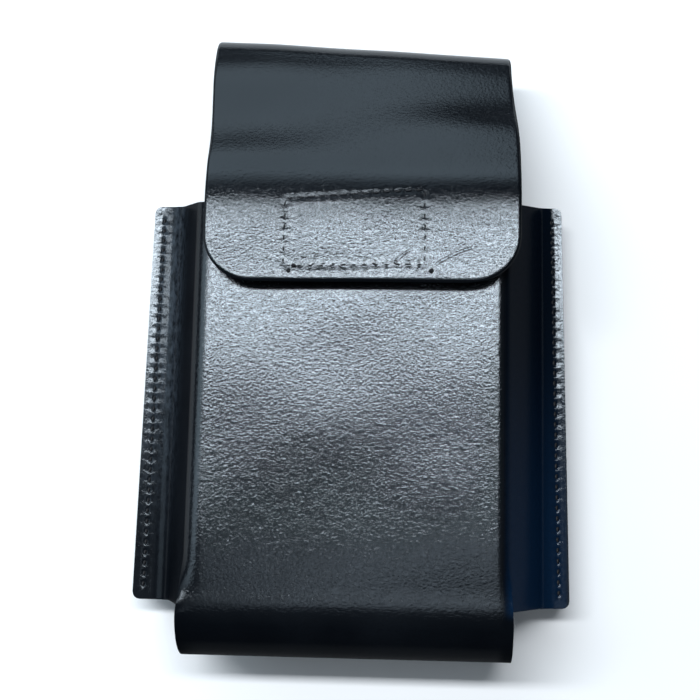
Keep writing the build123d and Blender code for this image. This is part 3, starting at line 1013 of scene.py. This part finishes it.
def make_stitch():
    """One stitch of two-ply thread along X, diving into a needle hole at each end."""
    deselect_all()
    bpy.ops.mesh.primitive_cylinder_add(vertices=8, radius=STITCH_RADIUS, depth=PITCH)
    stitch = bpy.context.object
    stitch.name = "stitch"

    def lengthwise(edge):
        start, end = (stitch.data.vertices[i].co for i in edge.vertices)
        return abs(start.z - end.z) > PITCH / 2

    in_edit_mode(stitch, "EDGE", lengthwise, bpy.ops.mesh.subdivide, number_cuts=6)
    for vertex in stitch.data.vertices:
        x, y, z = vertex.co
        along = z / (PITCH / 2)
        angle = atan2(y, x)
        ply = 1 + 0.14 * cos(2 * angle + 4.5 * along) - 0.2 * abs(along) ** 4
        rise = -STITCH_DIVE[0] - STITCH_DIVE[1] * along ** 2
        vertex.co = (z, x * ply, y * ply * 0.85 + rise)
    in_edit_mode(stitch, "FACE", lambda face: True, bpy.ops.mesh.normals_make_consistent)
    stitch.data.materials.append(THREAD)
    smooth(stitch, 60)
    return stitch


def stitch_between(stitch, start, end, up, number, girth):
    """A copy of the stitch from hole to hole, a little out of line as a sewn one is."""
    run = Vector(end) - Vector(start)
    along = run.normalized()
    normal = Vector((0, 0, up))
    aside = normal.cross(along)
    sway = noise.noise(Vector((start[0] * 900, start[1] * 900, number * 0.37)))
    axes = Matrix((along, aside, normal)).transposed().to_4x4()
    middle = (Vector(start) + Vector(end)) / 2 + aside * sway * 0.12 * MM
    stretch = Matrix.Diagonal((run.length / PITCH, girth, girth, 1))
    twist = Matrix.Rotation(sway * 0.10, 4, "Z")
    return copy_to(stitch, Matrix.Translation(middle) @ axes @ twist @ stretch)


def sewn(stitch, corners, level, up, girth=1.0):
    """Stitches along a run of corners, on a surface given by level(x, y)."""
    copies = []
    for (x0, y0), (x1, y1) in sides_of(corners):
        count = max(1, round(hypot(x1 - x0, y1 - y0) / PITCH))
        holes = []
        for i in range(count + 1):
            x, y = x0 + (x1 - x0) * i / count, y0 + (y1 - y0) * i / count
            holes.append((x, y, level(x, y)))
        for number, (start, end) in enumerate(zip(holes, holes[1:])):
            copies.append(stitch_between(stitch, start, end, up, number, girth))
    return copies


def knot(x, y, size, seed):
    """A small lump of thread where a seam was started or finished."""
    deselect_all()
    bpy.ops.mesh.primitive_uv_sphere_add(segments=14, ring_count=10, radius=size,
                                         location=(x, y, tongue_level(x, y) + size * 0.35))
    lump = bpy.context.object
    bpy.ops.object.transform_apply(location=True)
    for vertex in lump.data.vertices:
        push = noise.noise(Vector(vertex.co) / (0.45 * MM) + Vector((seed, 0, 0)))
        vertex.co.x += push * 0.35 * size
        vertex.co.y += noise.noise(Vector(vertex.co) / (0.4 * MM)) * 0.4 * size
        vertex.co.z = tongue_level(x, y) + (vertex.co.z - tongue_level(x, y)) * 0.7
    lump.data.materials.append(THREAD)
    smooth(lump, 60)
    return lump


def thread_piece(node, name, copies, body):
    """Joins the stitches of one thread, in place of its node."""
    piece = join(name, copies)
    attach(piece, body)
    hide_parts(node)


def make_threads():
    stitch = make_stitch()
    inside = CASE_BACK + LEATHER
    under_strap = CASE_BACK - STRAP_LEATHER
    level_seams = (
        ("left_seam_needle_thread", SIDE_SEAMS[0], FLANGE_TOP, 1),
        ("left_seam_bobbin_thread", SIDE_SEAMS[0], CASE_BACK, -1),
        ("right_seam_needle_thread", SIDE_SEAMS[1], FLANGE_TOP, 1),
        ("right_seam_bobbin_thread", SIDE_SEAMS[1], CASE_BACK, -1),
        ("foot_seam_needle_thread", None, CASE_BACK - LEATHER, -1),
        ("foot_seam_bobbin_thread", None, inside, 1),
        ("belt_loop_upper_needle_thread", None, under_strap, -1),
        ("belt_loop_upper_bobbin_thread", None, inside, 1),
        ("belt_loop_lower_needle_thread", None, under_strap, -1),
        ("belt_loop_lower_bobbin_thread", None, inside, 1),
    )
    for node, corners, z, up in level_seams:
        run = corners or seam_corners(node)
        copies = sewn(stitch, run, lambda x, y: z, up)
        thread_piece(node, node.replace("_thread", "_stitches"), copies, "case")

    def on_pile(x, y):
        return FACE_TOP - face_sag(x, y) + PILE_LEVEL

    def under_face(x, y):
        return FACE_TOP - face_sag(x, y) - LEATHER

    def under_hooks(x, y):
        return tongue_level(x, y) - LEATHER - HOOK_LEVEL

    run = seam_corners("loop_patch_needle_thread")
    thread_piece("loop_patch_needle_thread", "loop_patch_needle_stitches",
                 sewn(stitch, run, on_pile, 1), "case")
    thread_piece("loop_patch_bobbin_thread", "loop_patch_bobbin_stitches",
                 sewn(stitch, run, under_face, -1), "case")

    box = [*BOX_CORNERS, BOX_CORNERS[0]]
    (x0, y0), (x1, y1) = BOX_CORNERS[:2]
    again = [(x0 + 1.2 * MM, y0 - 0.7 * MM), (x0 + 9 * MM, y0 + 0.7 * MM),
             (x0 + 19 * MM, y0 + 0.3 * MM), (x0 + 26 * MM, y0 + 1.0 * MM), (x1, y1 - 0.6 * MM)]
    copies = [*sewn(stitch, box, tongue_level, 1, BOX_GIRTH),
              *sewn(stitch, again, tongue_level, 1, BOX_GIRTH)]
    copies += [knot(x0 + 1.4 * MM, y0 - 1.3 * MM, 0.50 * MM, 1.0),
               knot(x1 + 1.6 * MM, y1 - 1.7 * MM, 0.62 * MM, 5.0),
               knot(x0 + 2.6 * MM, y0 + 0.1 * MM, 0.55 * MM, 9.0)]
    thread_piece("hook_patch_needle_thread", "hook_patch_needle_stitches", copies, "tongue")
    thread_piece("hook_patch_bobbin_thread", "hook_patch_bobbin_stitches",
                 sewn(stitch, box, under_hooks, -1), "tongue")
    bpy.data.objects.remove(stitch)


# ------------------------------------------------------------------ stage

def softbox(name, place, aim, size, power, colour):
    """A rectangular light at a place, facing a point."""
    bpy.ops.object.light_add(type="AREA", location=place)
    lamp = bpy.context.object
    lamp.name = name
    lamp.data.shape = "RECTANGLE"
    lamp.data.size, lamp.data.size_y = size
    lamp.data.energy = power
    lamp.data.color = colour
    lamp.rotation_euler = (Vector(aim) - Vector(place)).to_track_quat("-Z", "Y").to_euler()


DAYLIGHT = (0.90, 0.95, 1.0)
CEILING_LIGHT = (0.84, 0.93, 1.0)
SKY_LIGHT = (0.74, 0.89, 1.0)
NEAR_LIGHT = (0.8, 0.9, 1.0)
ROOM_LIGHT = (0.80, 0.90, 1.0, 1.0)


def make_stage():
    deselect_all()
    bpy.ops.mesh.primitive_plane_add(size=6, location=(0, 0, CAD_BOX[0][2]))
    floor = bpy.context.object
    floor.name = "floor"
    floor.data.materials.append(plain_floor())
    softbox("window", (-0.26, 0.25, 1.0), (-0.26, 0.02, 0.03), (1.20, 0.10), 14.0, DAYLIGHT)
    softbox("ceiling", (0.0, -0.05, 1.1), (0, 0, 0.03), (1.0, 0.6), 0.55, CEILING_LIGHT)
    softbox("far side", (-0.35, 1.0, 0.75), (0, 0.06, 0.03), (1.2, 0.9), 6.5, SKY_LIGHT)
    softbox("left sky", (-0.9, 0.15, 0.6), (0, 0.02, 0.03), (0.7, 0.5), 2.6, SKY_LIGHT)
    softbox("near side", (0.05, -0.17, 1.0), (0, -0.06, 0.03), (0.5, 0.08), 0.40, NEAR_LIGHT)
    world = bpy.data.worlds.new("plain studio")
    bpy.context.scene.world = world
    world.use_nodes = True
    background = world.node_tree.nodes["Background"]
    background.inputs["Color"].default_value = ROOM_LIGHT
    background.inputs["Strength"].default_value = 0.10
    bpy.context.scene.view_settings.view_transform = "Standard"


CAMERA_PLACE = (0.0200, -0.0521, 0.3436)
CAMERA_TURN = (8.70, 3.57, 0.66)
LENS = 64.2


def make_camera():
    bpy.ops.object.camera_add(location=CAMERA_PLACE)
    camera = bpy.context.object
    camera.rotation_mode = "ZYX"
    camera.rotation_euler = [radians(turn) for turn in CAMERA_TURN]
    camera.data.lens = LENS
    camera.data.sensor_width = 36
    camera.data.clip_start = 0.01
    bpy.context.scene.camera = camera


make_stage()
make_camera()
make_front()
make_back()
make_fold_middle()
make_fold_end()
make_tongue()
make_tapes()
make_belt_loop()
make_threads()
